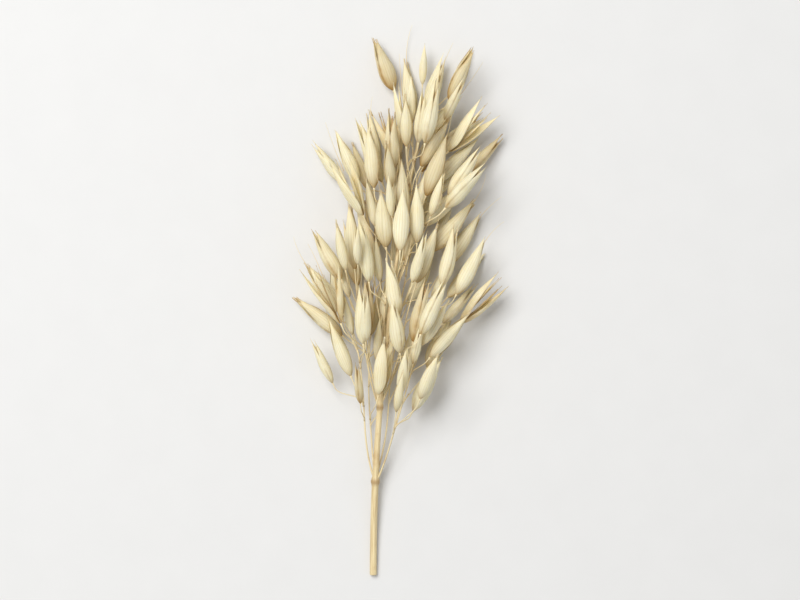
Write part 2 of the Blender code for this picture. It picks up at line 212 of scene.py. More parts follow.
def husk_finish(name, depth, nerve_share):
    """Papery tissue. depth is painted shade: how far its colour leans from ivory to tan, for husks deep
    inside a spikelet.
    """
    finish = Finish(name)
    along, across = finish.run()
    # This value is each spikelet's own colour plus painted shade on those that sit low.
    tone = finish.attribute("tone")
    place = finish.place()
    fibres = finish.noise(finish.stretch(FIBRE_SCALES, across, along, tone), 1.0, 4.0, 0.62)
    sway = finish.noise(finish.stretch(SWAY_SCALES, across, along, tone), 1.0, 1.0)
    blotches = finish.noise(place, BLOTCH_SCALE)
    specks = finish.noise(place, SPECK_SCALE, 2.0) + blotches * 0.45
    wave = ((across + sway * NERVE_SWAY) * (2 * math.pi * NERVES)).cosine()
    nerves = (wave * 0.5 + 0.5) ** NERVE_SHARPNESS
    from_middle = (across * 2 - 1).size()
    colour = finish.blend((blotches - 0.34) * 1.2, IVORY, STRAW_YELLOW)
    colour = finish.blend((0.24 - tone) * 1.8, colour, GREENISH)
    colour = finish.blend((fibres - 0.45) * 1.6, colour, BLEACHED)
    colour = finish.blend(nerves * nerve_share * (1 - from_middle**4), colour, NERVE)
    # Painted shade: tan along the husk's edges, where it wraps under, and at its base. It is also darker
    # towards its tip.
    painted_edge_shade = from_middle**4 * (blotches * 1.6 - 0.35)
    worn = (1 - along) ** 6 * 0.85 + along**9 * 0.35 + painted_edge_shade
    # Painted shade also comes from depth, for husks inside a spikelet, and from how low a spikelet sits. The
    # rest of what leans it to tan is each spikelet's own colour.
    shade = (tone - 0.64) * 1.1 + worn + depth
    colour = finish.blend(shade.held(), colour, TAN_FOR_SHADE_AND_BLOTCHES)
    colour = finish.blend((specks - 1.02) * 9, colour, SPECK)
    return finish.finish(
        Base_Color=colour,
        Roughness=fibres * 0.25 + 0.48,
        Normal=finish.bump(nerves * 0.35 + fibres * 0.9, HUSK_BUMP, 0.7),
        Subsurface_Weight=0.25,
        Subsurface_Radius=(1.0, 0.62, 0.30),
        Subsurface_Scale=0.0014,
        Specular_IOR_Level=0.28,
    )


HUSK = husk_finish("oat_husk", HUSK_PAINTED_SHADE, HUSK_NERVES)
INNER_HUSK = husk_finish("oat_inner_husk", INNER_PAINTED_SHADE, INNER_NERVES)
print("finishes", HUSK.name, INNER_HUSK.name)

# %% [markdown]
# ## Straw and bristle
#
# Straw is a bundle of long fibres under a waxy skin, so it shines a little and its colour runs
# lengthwise. It is brown at its nodes and pales towards the threads that bear the spikelets, so one
# value is stored along each run: from 0 for plain straw up to 1 for the palest thread, and below 0 where
# a node is brown. Bristles are the same tissue, thin and browner at the root.

# %% Colours of the straw
STRAW_TAN = (0.46, 0.31, 0.13)
STRAW_GOLD = (0.82, 0.69, 0.40)
THREAD_PALE = (0.86, 0.75, 0.47)
NODE_BROWN = (0.36, 0.22, 0.09)
BRISTLE = (0.62, 0.43, 0.20)
STEM_RIBS = 12
STREAK_SCALES = (3.2, 3.2, 9)
STRAND_SCALES = (11, 11, 30)
STRAW_BLOTCH_SCALE = 140.0
BRISTLE_GRAIN_SCALE = 900.0
STRAW_BUMP, BRISTLE_BUMP = 0.00008, 0.00002


def straw_finish():
    """Long fibres: noise on a stretched cylinder (cos a, sin a, along), so it has no seam."""
    finish = Finish("oat_straw")
    along, across = finish.run()
    pale = finish.attribute("pale")
    angle = across * (2 * math.pi)
    east, north = angle.cosine(), (angle - math.pi / 2).cosine()
    streaks = finish.noise(finish.stretch(STREAK_SCALES, east, north, along), 1.0, 5.0, 0.7)
    fibres = finish.noise(finish.stretch(STRAND_SCALES, east, north, along), 1.0, 3.0)
    ribs = (angle * STEM_RIBS).cosine() * 0.5 + 0.5
    blotches = finish.noise(finish.place(), STRAW_BLOTCH_SCALE)
    colour = finish.blend((streaks - 0.34) * 3.2 + ribs * 0.2, STRAW_TAN, STRAW_GOLD)
    colour = finish.blend(pale * 0.85, colour, THREAD_PALE)
    colour = finish.blend((fibres - 0.50) * 1.8, colour, BLEACHED)
    colour = finish.blend((blotches - 0.52) * 2.2, colour, TAN_FOR_SHADE_AND_BLOTCHES)
    colour = finish.blend((0 - pale) * 2.0, colour, NODE_BROWN)
    return finish.finish(
        Base_Color=colour,
        Roughness=fibres * 0.25 + 0.34,
        Normal=finish.bump(fibres * 0.7 + streaks * 0.5, STRAW_BUMP, 0.7),
        Specular_IOR_Level=0.45,
    )


def bristle_finish():
    """Brown at its root and paler towards its tip."""
    finish = Finish("oat_bristle")
    along, _ = finish.run()
    grain = finish.noise(finish.place(), BRISTLE_GRAIN_SCALE)
    colour = finish.blend((along * 1.1 + grain * 0.3).held(), BRISTLE, STRAW_GOLD)
    return finish.finish(
        Base_Color=colour,
        Roughness=grain * 0.2 + 0.4,
        Normal=finish.bump(grain, BRISTLE_BUMP, 0.4),
    )


STRAW = straw_finish()
AWN = bristle_finish()
print("finishes", STRAW.name, AWN.name)

# %% [markdown]
# ## From a grid of points to a mesh
#
# Every shape here is a grid: rows along the piece, columns across it. A blade keeps its two long edges,
# and a tube joins its last column to its first and closes both ends. The `run` map stores how far along
# and across each corner is, so that nerves and fibres follow the piece wherever it bends.

# %% Grid to mesh


def grid_faces(rows, columns, closed):
    """Corner indices of every quad, as one array. A closed grid's last column meets its first."""
    i, j = np.meshgrid(np.arange(rows - 1), np.arange(columns if closed else columns - 1), indexing="ij")
    i, j = i.ravel(), j.ravel()
    after = (j + 1) % columns
    here, above = i * columns, (i + 1) * columns
    return np.column_stack([here + j, here + after, above + after, above + j])


def corner_map(rows, columns, closed, along):
    """(along, across) of each quad's four corners. Across runs on to 1 at a closed grid's last column."""
    i, j = np.meshgrid(np.arange(rows - 1), np.arange(columns if closed else columns - 1), indexing="ij")
    i, j = i.ravel(), j.ravel()
    steps = columns if closed else columns - 1
    u = np.column_stack([along[i], along[i], along[i + 1], along[i + 1]])
    v = np.column_stack([j, j + 1, j + 1, j]) / steps
    return np.stack([u, v], axis=2).reshape(-1, 2)


class Shape:
    """Grids gathered into one mesh."""

    def __init__(self):
        self.points, self.faces, self.maps, self.values = [], [], [], []
        self.count = 0

    def add(self, grid, along, value, closed=False):
        rows, columns = grid.shape[:2]
        self.points.append(grid.reshape(-1, 3))
        self.faces += (grid_faces(rows, columns, closed) + self.count).tolist()
        self.maps.append(corner_map(rows, columns, closed, along))
        if closed:
            last = self.count + (rows - 1) * columns
            self.faces.append(list(range(self.count + columns - 1, self.count - 1, -1)))
            self.faces.append(list(range(last, last + columns)))
            ends = [np.full((columns, 2), [along[0], 0.5]), np.full((columns, 2), [along[-1], 0.5])]
            self.maps += ends
        self.values.append(np.broadcast_to(value, (rows, columns)).ravel())
        self.count += rows * columns

    def build(self, name, attribute, material):
        mesh = bpy.data.meshes.new(name)
        mesh.from_pydata(np.concatenate(self.points), [], self.faces)
        layer = mesh.uv_layers.new(name="run")
        layer.data.foreach_set("uv", np.concatenate(self.maps).astype(np.float32).ravel())
        stored = mesh.attributes.new(attribute, "FLOAT", "POINT")
        stored.data.foreach_set("value", np.concatenate(self.values).astype(np.float32))
        mesh.polygons.foreach_set("use_smooth", np.ones(len(mesh.polygons), bool))
        mesh.materials.append(material)
        mesh.update()
        piece = bpy.data.objects.new(name, mesh)
        bpy.context.scene.collection.objects.link(piece)
        return piece


def settle(piece, node):
    """The piece rides on the part and stands for its plain node if it has one."""
    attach(piece, "root")
    if node:
        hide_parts(node)


# %% [markdown]
# ## Where each spikelet sits
#
# A plain spikelet has three points that can be found again: the pole at its base and the tips of its two
# husks, of which one is a twentieth longer. The middle of the tips gives its axis, the line between them
# gives the way it opens, and the distance between them gives how far it gapes.

# %% Read the plain spikelets
SHORT_HUSK = 0.95
CLOSED_SPLIT = 0.56
OPEN_SPLIT = 0.20
WIDE_SPREAD = 0.1
TABLE_GAP = 0.0001
PRESS = 0.00015


def unit(vector):
    return vector / np.linalg.norm(vector)


def above_table(points):
    """Paper that would reach into the table lies flat on it instead: with h the height over the gap, in
    units of PRESS, the new height is log(1 + exp(h)), which is h well above the table and 0 below it."""
    h = (points[..., 2] - TABLE_GAP) / PRESS
    lifted = TABLE_GAP + PRESS * np.logaddexp(0, h)
    return np.concatenate([points[..., :2], lifted[..., None]], axis=-1)


class Seat:
    """Place of one spikelet: its base, its three axes, its length, how far its husks part, and its girth."""

    def __init__(self, label, node, base, axis, opening, length, spread, girth=1.0):
        self.label, self.node, self.base = label, node, base
        self.turn = np.column_stack([np.cross(axis, opening), axis, opening])
        self.length, self.spread, self.girth = length, spread, girth
        self.open = spread / length > WIDE_SPREAD
        self.split = OPEN_SPLIT if self.open else CLOSED_SPLIT

    def put(self, local):
        """Points in the spikelet's own frame, moved to where it sits and kept above the table."""
        return above_table(local @ self.turn.T + self.base)


def points_of(node):
    """The corners of a plain node, as one array."""
    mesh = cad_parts[node].data
    flat = np.zeros(len(mesh.vertices) * 3, np.float32)
    mesh.vertices.foreach_get("co", flat)
    return flat.reshape(-1, 3).astype(float)


def read_seat(node):
    """Seat of a plain spikelet. Its longest direction, towards +Y, puts its corners in order."""
    points = np.unique(points_of(node).round(8), axis=0)
    rough = np.linalg.svd(points - points.mean(axis=0), full_matrices=False)[2][0]
    order = np.argsort(points @ rough * np.sign(rough[1]))
    base, tips = points[order[0]], points[order[-2:]]
    middle = tips.mean(axis=0) - base
    axis = unit(middle)
    reach = (tips - base) @ axis
    opening = tips[reach.argmax()] - tips[reach.argmin()]
    opening = opening - opening.dot(axis) * axis
    length = 2 * np.linalg.norm(middle) / (1 + SHORT_HUSK)
    label = node.replace("spikelet_", "")
    return Seat(label, node, base, axis, unit(opening), length, np.linalg.norm(opening) / 2)


seats = [read_seat(node) for node in SPIKELETS]
lengths = [1000 * seat.length for seat in seats]
print(f"spikelets {min(lengths):.1f} to {max(lengths):.1f} mm long, {sum(s.open for s in seats)} wide open")

# %% [markdown]
# ## A husk as a function of two numbers
#
# A husk is a boat: narrow at its base, fullest a little past a third of its length, drawn out to a
# point. Its cross-section is an arc with one crease where it dried and folded. So it is a surface of two
# numbers, `u` along it and `v` from one edge to the other. Sculpting a hundred pairs by hand would make
# them all alike or all wrong. With a formula, each one gets its own small bend, twist, crease and dents,
# and still is a husk.

# %% The husk surface
HUSK_WIDTH = 0.0078
HUSK_THICKNESS = 0.0060
BASE_FULLNESS = 0.75
TIP_FULLNESS = 1.34
RIDGE = 0.009
BLADE_ROWS = 33
HUSK_WALL = 0.00009
BLADE_ENDS = (0.05, 0.985)
WRAP_LOSS = 0.25
EDGE_POWER = 6
DENTS_ALONG, DENTS_ACROSS = 1.4, 0.45
GAPE_POWER = 1.15
BLUNT_POWER, FRAY_POWER, LEAN_POWER = 9, 12, 1.4
FOLD_WIDTH = 0.11
FOLD_DRIFT = 0.30
FOLD_PLACE = 0.45
CREASE_DEPTH, CREASE_SWING = 0.07, 0.04
BEND_RANGE = (-0.030, 0.030)
NOD_RANGE = (-0.02, 0.02)
TWIST_RANGE = (-14, 14)
PLUMP_RANGE = (0.70, 0.92)
DENT_RANGE = (0.02, 0.05)
WORN_SHARE = 0.4
WORN_BLUNT, WHOLE_BLUNT = (0.10, 0.22), 0.02
WORN_FRAY, WHOLE_FRAY = (0.05, 0.12), 0.01
TEETH_RANGE = (2.2, 4.6)
# The second number is painted shade: how much browner a spikelet gets the lower it sits.
TONE_DRAWN, SHADE_BY_HEIGHT = 0.78, 0.22
HABIT_SEED = 11


def fullness(u):
    """u^a (1 - u)^b over its greatest value, which it has at u = a / (a + b)."""
    fullest = BASE_FULLNESS / (BASE_FULLNESS + TIP_FULLNESS)
    greatest = fullest**BASE_FULLNESS * (1 - fullest) ** TIP_FULLNESS
    return u**BASE_FULLNESS * (1 - u) ** TIP_FULLNESS / greatest


class Habit:
    """The small ways in which one spikelet differs from the next. Low ones get painted shade and are
    browner.
    """

    def __init__(self, seat, rng):
        self.bend = rng.uniform(*BEND_RANGE)
        self.nod = rng.uniform(*NOD_RANGE)
        self.twist = math.radians(rng.uniform(*TWIST_RANGE))
        self.plump = rng.uniform(*PLUMP_RANGE) * seat.girth
        self.phase = rng.uniform(0, 2 * math.pi)
        self.fold = FOLD_PLACE * math.sin(self.phase)
        self.crease = CREASE_DEPTH + CREASE_SWING * math.sin(3 * self.phase)
        self.dent = rng.uniform(*DENT_RANGE)
        worn = rng.random() < WORN_SHARE
        self.blunt = rng.uniform(*WORN_BLUNT) if worn else WHOLE_BLUNT
        self.fray = rng.uniform(*WORN_FRAY) if worn else WHOLE_FRAY
        self.teeth = rng.uniform(*TEETH_RANGE)
        # Painted shade: the lower a spikelet sits in the head, the more its colour leans to tan.
        lowness = 1 - seat.base[2] / cad_box[1][2]
        self.tone = TONE_DRAWN * rng.random() + SHADE_BY_HEIGHT * lowness


def warp(local, u, length, habit):
    """Twists points about the long axis by twist * u, then bends them sideways and up by u squared."""
    angle = habit.twist * u
    x = local[..., 0] * np.cos(angle) + local[..., 2] * np.sin(angle)
    z = local[..., 2] * np.cos(angle) - local[..., 0] * np.sin(angle)
    return np.stack([x + habit.bend * length * u**2, local[..., 1], z + habit.nod * length * u**2], axis=-1)


def blade(seat, habit, side, wrap, width=1.0, depth=1.0, reach=1.0, lift=1.0, lean=0.0):
    """One husk: x = side w(u) sin a and z = side (t(u) cos a + rise(u)), where a = v * wrap, w and t follow
    the fullness, nerves add a ridge of cos(9 pi (v + 1)), and past the split rise grows to the spread. One
    crease runs from end to end: d widths from its line, it lowers both by a share crease * exp(-d^2). A
    worn tip keeps a width of blunt * u^9, and teeth of cos(teeth pi v) cut it back by up to fray * u^12. A
    leaning husk moves aside by lean * length * u^1.4."""
    u = (0.5 - 0.5 * np.cos(np.linspace(*BLADE_ENDS, BLADE_ROWS) * np.pi))[:, None]
    v = np.linspace(-1, 1, 4 * NERVES + 1)[None, :]
    free = np.clip((u - seat.split) / (1 - seat.split), 0, 1)
    angle = v * math.radians(wrap) * (1 - WRAP_LOSS * free**2)
    ridge = 1 + RIDGE * np.cos(np.pi * NERVES * (v + 1)) * (1 - v**EDGE_POWER) * np.sqrt(fullness(u))
    dents = 1 + habit.dent * np.sin(2 * np.pi * (DENTS_ALONG * u + DENTS_ACROSS * v) + habit.phase + side)
    fold = (v - habit.fold - FOLD_DRIFT * (u - 0.5)) / FOLD_WIDTH
    skin = ridge * dents * (1 - habit.crease * np.exp(-(fold**2)))
    worn = np.hypot(fullness(u), habit.blunt * u**BLUNT_POWER)
    across = HUSK_WIDTH / 2 * width * habit.plump * worn * skin
    deep = HUSK_THICKNESS / 2 * depth * seat.girth * fullness(u) * skin
    rise = lift * seat.spread * free**GAPE_POWER
    teeth = 0.5 + 0.5 * np.cos(np.pi * habit.teeth * v + habit.phase + side)
    y = seat.length * reach * u * (1 - habit.fray * teeth * u**FRAY_POWER)
    x = side * across * np.sin(angle) + lean * seat.length * u**LEAN_POWER
    local = np.stack([x, y, side * (deep * np.cos(angle) + rise)], axis=-1)
    return seat.put(warp(local, u, seat.length, habit)), u[:, 0]


rng = random.Random(HABIT_SEED)
habits = {seat.label: Habit(seat, rng) for seat in seats}
print(sum(habit.fray > WHOLE_FRAY for habit in habits.values()), "spikelets have worn tips")

# %% [markdown]
# ## Sweeping a tube along a path
#
# Straw, branches and bristles are all a circle carried along a line. At every point of the line the
# circle needs two directions square to it, and for lines that lie down the first can simply be taken
# level.

# %% Sweep


def sweep(path, radii, sides, ribs=0, rib_height=0.0):
    """Grid of path(s) + r(s) (cos a * level + sin a * upright). Ribs lower r between them, by
    rib_height * (1 - cos(ribs * a))."""
    tangent = np.gradient(path, axis=0)
    tangent /= np.linalg.norm(tangent, axis=1, keepdims=True)
    level = np.cross(tangent, (0, 0, 1))
    level /= np.linalg.norm(level, axis=1, keepdims=True)
    upright = np.cross(tangent, level)
    angle = np.linspace(0, 2 * np.pi, sides, endpoint=False)[None, :, None]
    spoke = np.cos(angle) * level[:, None] + np.sin(angle) * upright[:, None]
    ribbed = radii[:, None, None] * (1 - rib_height * (1 - np.cos(ribs * angle)))
    return path[:, None] + ribbed * spoke


def run_of(path):
    """Distance along a path at each of its points, from 0 to 1, and the whole length."""
    steps = np.concatenate([[0.0], np.cumsum(np.linalg.norm(np.diff(path, axis=0), axis=1))])
    return steps / steps[-1], steps[-1]


# %% [markdown]
# ## Straw and main axis
#
# The straw is hollow where it was cut. Above it, the same stem bears a whorl of branches at each node, and
# gets thinner from node to node. The numbers of its line, its thickness and its hollow are those that the
# plain solid was built with, so both lie in the same place. Only the swellings at the nodes are shorter
# here, as they are on real straw. The tube starts at the bottom of the hollow, comes out of its mouth,
# turns over the rim and runs to the top, so the cut end is one closed surface.

# %% The line of the main axis
STRAW_LENGTH = 0.038
STRAW_RADIUS = 0.0014
STRAW_BORE = 0.0009
STRAW_BORE_DEPTH = 0.015
RACHIS_TOP_RADIUS = 0.00045
FIRST_INTERNODE = 0.030
INTERNODE_RATIO = 0.83
RACHIS_HEIGHT = 0.0115
BOW = 0.018
NOD = 0.0025
RACHIS_TAPER = 0.8
NODE_SWELL = 0.35
NODE_REACH = 0.0013
RIM_DEPTH = 0.0005
AXIS_STEP = 0.0005
LOADS = (
    (4, 2, 3, 2, 3),
    (3, 2, 3, 2),
    (3, 2, 2, 1),
    (3, 1, 2, 1),
    (2, 2, 2),
    (2, 1, 1),
    (2, 1),
    (2, 1),
    (1,),
)
internodes = FIRST_INTERNODE * INTERNODE_RATIO ** np.arange(len(LOADS) - 1)
STATIONS = STRAW_LENGTH + np.concatenate([[0.0], np.cumsum(internodes)])
TOP = STATIONS[-1]


def cut_end():
    """Middle of the straw's cut end: the part's lowest points along Y are its rim."""
    points = points_of("straw_and_branches")
    rim = points[points[:, 1] < points[:, 1].min() + RIM_DEPTH]
    return (rim.min(axis=0) + rim.max(axis=0)) / 2


SHIFT = cut_end() - np.array([0, 0, STRAW_RADIUS])


def rachis_point(y):
    """It rises off the surface over the straw, bows to one side and nods at the top."""
    y = np.asarray(y, float)
    rise = np.clip(y / STATIONS[2], 0, 1)
    rise = rise * rise * (3 - 2 * rise)
    nod = NOD * (np.maximum(0, y - STATIONS[3]) / (TOP - STATIONS[3])) ** 2
    z = STRAW_RADIUS + (RACHIS_HEIGHT - STRAW_RADIUS) * rise - nod
    return np.stack([BOW * (y / TOP) ** 2, y, z], axis=-1) + SHIFT


def rachis_axis(y):
    return unit(rachis_point(y + AXIS_STEP) - rachis_point(y - AXIS_STEP))


def rachis_radius(y):
    """Tapers above the straw, and swells by exp(-(distance / reach)^2) at each node."""
    share = np.clip((y - STRAW_LENGTH) / (TOP - STRAW_LENGTH), 0, 1)
    plain = STRAW_RADIUS + (RACHIS_TOP_RADIUS - STRAW_RADIUS) * share**RACHIS_TAPER
    nearest = np.abs(y[:, None] - STATIONS).min(axis=1)
    return plain * (1 + NODE_SWELL * np.exp(-((nearest / NODE_REACH) ** 2)))


# %% Sweep the straw
STEM_SIDES = 36
STEM_STEP = 0.0008
RIB_HEIGHT = 0.03
RIM_RUN, RIM_WIDTH = 0.0003, 0.96
TOP_RUN, TOP_WIDTH = 0.0004, 0.1
HOLLOW_RUN = (0.0, 0.04, 0.5, 1.0)
HOLLOW_WIDTHS = (1.03, 1.0, 1.0, 1.0)
TOP_PALE, TOP_PALE_POWER = 0.45, 1.5
NODE_BROWNNESS = 0.4
plant = Shape()
depth = np.array(HOLLOW_RUN) * STRAW_BORE_DEPTH
hollow_radii = np.array(HOLLOW_WIDTHS) * STRAW_BORE
outside = np.concatenate([[0.0, RIM_RUN], np.arange(STEM_STEP, TOP, STEM_STEP), [TOP, TOP + TOP_RUN]])
outer_radii = rachis_radius(outside)
outer_radii[0] *= RIM_WIDTH
outer_radii[-1] *= TOP_WIDTH
wall = sweep(rachis_point(outside), outer_radii, STEM_SIDES, ribs=STEM_RIBS, rib_height=RIB_HEIGHT)
hollow = sweep(rachis_point(depth), hollow_radii, STEM_SIDES)[::-1]
stem = np.concatenate([hollow, wall])
stem_run = np.concatenate([depth[::-1], outside])
paleness = TOP_PALE * (stem_run / TOP) ** TOP_PALE_POWER
at_node = np.exp(-((np.abs(stem_run[:, None] - STATIONS).min(axis=1) / NODE_REACH) ** 2))
plant.add(stem, stem_run / TOP, (paleness - at_node * (paleness + NODE_BROWNNESS))[:, None], closed=True)
print(f"straw and main axis {TOP * 1000:.0f} mm long, swept in {len(stem_run)} circles")

# %% [markdown]
# ## Branches and side threads
#
# A branch leaves its node steeply, curves away under its own load and comes to its spikelet along the
# spikelet's axis. One cubic curve with those two end directions gives that. Real threads also wander a
# little, so a small wave is added that fades to nothing at both ends. Side threads start from a point of
# the wandering branch, so they always meet it.

# %% Lines of the threads
BRANCH_ROOT, BRANCH_END = 0.00038, 0.00022
SIDE_ROOT, SIDE_END = 0.00028, 0.00019
CUP_RADIUS = 0.00056
CUP_LENGTH = 0.0019
SEAT_GAP = 0.0003
LEAVE_ANGLE = math.radians(24)
ARRIVE_PULL = 0.8
WHORL_STAGGER = 0.0007
FIRST_FORK = 0.42
FORK_RUN = 0.42
WANDER = 0.0003
WANDER_RUN = 0.030
WAVE_RATE = 9
THREAD_LIFT = 1.3
THREAD_STEP, FEWEST_STEPS = 0.0011, 12
THREAD_SIDES = 10
THREAD_TAPER = 0.6
FLARE, FLARE_RUN = 0.7, 0.0011
CUP_RUN = (0.15, 1.22, 7)
CUP_SLOPE = 0.55
CUP_CLOSE = 0.35
FORK_STEP = 0.02
BRANCH_PALE, SIDE_PALE, SMALL_PALE, BARE_PALE = 0.35, 0.6, 0.7, 0.75


def thread_line(root, root_axis, seat, t, phase):
    """Cubic from the root to under the spikelet, plus a wave sin(pi t)^2 sin(9 t + phase) sideways. The wave
    is WANDER high on a thread of WANDER_RUN or more, and lower on a shorter one."""
    axis = seat.turn[:, 1]
    cup = seat.base - (SEAT_GAP + CUP_LENGTH) * axis
    off = cup - root
    reach = np.linalg.norm(off)
    side = unit(off - off.dot(root_axis) * root_axis)
    leave = reach * (math.cos(LEAVE_ANGLE) * root_axis + math.sin(LEAVE_ANGLE) * side)
    arrive = reach * ARRIVE_PULL * axis
    t = np.asarray(t, float)[:, None]
    line = (
        (2 * t**3 - 3 * t**2 + 1) * root
        + (t**3 - 2 * t**2 + t) * leave
        + (3 * t**2 - 2 * t**3) * cup
        + (t**3 - t**2) * arrive
    )
    wave = WANDER * min(1, reach / WANDER_RUN) * np.sin(np.pi * t) ** 2 * np.sin(WAVE_RATE * t + phase)
    line = line + wave * seat.turn[:, 0]
    line[:, 2] = np.maximum(line[:, 2], THREAD_LIFT * BRANCH_ROOT)
    return line


class Room:
    """Spheres that are already filled, by spikelets or by threads."""

    def __init__(self):
        self.centres, self.radii = [], []

    def fill(self, centres, radii):
        self.centres.append(centres)
        self.radii.append(np.broadcast_to(radii, len(centres)))

    def gap(self, centres, radii):
        """Least gap from these spheres to the filled ones: distance less both radii."""
        apart = np.linalg.norm(centres[:, None] - np.concatenate(self.centres)[None], axis=2)
        return (apart - np.reshape(radii, (-1, 1)) - np.concatenate(self.radii)[None]).min()


bodies, lines = Room(), Room()
lines.fill(rachis_point(outside), outer_radii)


def add_thread(root, root_axis, seat, phase, thick, thin, start_pale):
    """Sweeps one thread with a flare at its root and the cup that holds the spikelet at its end."""
    reach = np.linalg.norm(seat.base - root)
    t = np.linspace(0, 1, max(FEWEST_STEPS, round(reach / THREAD_STEP)))
    line = thread_line(root, root_axis, seat, t, phase)
    lines.fill(line, thick)
    axis = seat.turn[:, 1]
    cup_run = np.linspace(*CUP_RUN)[:, None]
    line = np.vstack([line, line[-1] + cup_run * (SEAT_GAP + CUP_LENGTH) * axis])
    share, length = run_of(line)
    radii = thick + (thin - thick) * share**THREAD_TAPER
    radii = radii * (1 + FLARE * np.exp(-share * length / FLARE_RUN))
    to_cup = (1 - share) * length / CUP_LENGTH
    radii = radii + (CUP_RADIUS * seat.girth - thin) * np.exp(-((to_cup / CUP_SLOPE) ** 2))
    radii[-1] *= CUP_CLOSE
    grid = sweep(line, radii, THREAD_SIDES)
    plant.add(grid, share, (start_pale + (1 - start_pale) * share)[:, None], closed=True)


# %% Sweep the threads
by_label = {seat.label: seat for seat in seats}
branches = []
for whorl, loads in enumerate(LOADS):
    for branch, load in enumerate(loads):
        place = f"{whorl + 1}{'abcde'[branch]}"
        start = STATIONS[whorl] + WHORL_STAGGER * (branch - len(loads) / 2)
        main = by_label[f"{place}1"]
        phase = habits[main.label].phase
        route = (rachis_point(start), rachis_axis(start), main)
        branches.append((route, phase))
        add_thread(*route, phase, BRANCH_ROOT, BRANCH_END, BRANCH_PALE)
        for order in range(1, load):
            fork = FIRST_FORK + FORK_RUN * (order - 1) / max(load - 1, 1)
            near = thread_line(*route, [fork - FORK_STEP, fork, fork + FORK_STEP], phase)
            twig = by_label[f"{place}{order + 1}"]
            twig_phase = habits[twig.label].phase
            add_thread(near[1], unit(near[2] - near[0]), twig, twig_phase, SIDE_ROOT, SIDE_END, SIDE_PALE)
print(len(branches), "branches bear", len(seats), "spikelets")

# %% [markdown]
# ## Smaller spikelets, and threads that lost theirs
#
# The plain model has one solid for each of its 56 largest spikelets. A real head bears more: late,
# smaller ones fill the space between, and here and there one has dropped and left its bare thread. Their
# places are drawn at random along the branches. A draw is kept only if spheres along the new spikelet
# keep clear of the spheres along every other one and every thread, and stay inside the plain model's
# box, whose underside is the table.

# %% Find room for the smaller spikelets
SMALL_WANTED = 44
DRAWS = 16000
BARE_WANTED = 11
SMALL_LENGTH = 0.0265
GUARD_SHARE = 0.90
GUARD_RUN = (0.06, 0.97, 9)
SPACE = 0.0002
FORK_RANGE = (0.34, 0.93)
SMALL_LEAN = (8, 60)
SMALL_GIRTH = (0.56, 0.86)
SMALL_STALK = (0.006, 0.020)
SMALL_VARIES = (0.95, 1.05)
SMALL_LENGTH_POWER = 0.7
SMALL_SPREAD = 0.0009
SMALL_THREAD = 0.9
ALONG_PULL, TIPWARD_PULL = 0.8, 0.5
PATH_POINTS = 16
PLACE_SEED = 23


def guards(seat):
    """Spheres along both husks: as wide as the husks at u, and as far from the axis as they have parted."""
    u = np.linspace(*GUARD_RUN)
    free = np.clip((u - seat.split) / (1 - seat.split), 0, 1)
    part = np.outer(seat.spread * free**GAPE_POWER, seat.turn[:, 2])
    spine = seat.base + np.outer(seat.length * u, seat.turn[:, 1])
    radii = GUARD_SHARE * HUSK_WIDTH / 2 * seat.girth * fullness(u)
    return np.concatenate([spine + part, spine - part]), np.tile(radii, 2)


def any_direction(draw):
    return np.array([draw.gauss(0, 1) for _ in range(3)])


def fork_of(draw):
    """A point of a branch drawn at random, and the branch's direction there."""
    route, phase = draw.choice(branches)
    t = draw.uniform(*FORK_RANGE)
    near = thread_line(*route, [t - FORK_STEP, t, t + FORK_STEP], phase)
    return near[1], unit(near[2] - near[0])


def lean_from(direction, low, high, draw):
    """A direction that leans away from the given one by low to high degrees, to any side."""
    lean = math.radians(draw.uniform(low, high))
    return math.cos(lean) * direction + math.sin(lean) * unit(np.cross(direction, any_direction(draw)))


def small_seat(number, draw):
    """One draw of a smaller spikelet, as (seat, root, root axis)."""
    root, along = fork_of(draw)
    heading = lean_from(along, *SMALL_LEAN, draw)
    girth = draw.uniform(*SMALL_GIRTH)
    axis = unit(heading + ALONG_PULL * along + np.array([0, TIPWARD_PULL, 0]))
    base = root + draw.uniform(*SMALL_STALK) * heading
    length = SMALL_LENGTH * girth**SMALL_LENGTH_POWER * draw.uniform(*SMALL_VARIES)
    opening = unit(np.cross(axis, any_direction(draw)))
    label, spread = f"small_{number:02d}", SMALL_SPREAD * girth
    return Seat(label, None, base, axis, opening, length, spread, girth), root, along


def fits(centres, radii):
    low, high = np.array(cad_box[0]), np.array(cad_box[1])
    inside = (centres - radii[:, None] > low).all() and (centres + radii[:, None] < high).all()
    return inside and bodies.gap(centres, radii) > SPACE and lines.gap(centres, radii) > SPACE


for seat in seats:
    bodies.fill(*guards(seat))
draw = random.Random(PLACE_SEED)
small_seats = []
for _ in range(DRAWS):
    seat, root, root_axis = small_seat(len(small_seats) + 1, draw)
    if not fits(*guards(seat)):
        continue
    habit = Habit(seat, rng)
    path = thread_line(root, root_axis, seat, np.linspace(0, 1, PATH_POINTS), habit.phase)
    if bodies.gap(path, SIDE_ROOT) < SPACE:
        continue
    habits[seat.label] = habit
    small_seats.append(seat)
    thick, thin = SMALL_THREAD * SIDE_ROOT, SMALL_THREAD * SIDE_END
    add_thread(root, root_axis, seat, habit.phase, thick, thin, SMALL_PALE)
    bodies.fill(*guards(seat))
    if len(small_seats) == SMALL_WANTED:
        break
print(len(small_seats), "smaller spikelets found room")

# %% Bare threads, and the straw with all its threads
BARE_RADIUS = 0.00016
BARE_SIDES = 8
BARE_POINTS = 15
BARE_LEAN = (15, 55)
BARE_BEND = (20, 85)
BARE_LENGTH = (0.006, 0.013)
BARE_SUNK = 0.0002
BARE_LIFT, BARE_GUARD = 3, 2
BARE_START, BARE_TAPER = 1.25, 0.4
KNOB, KNOB_REACH = 1.1, 0.10


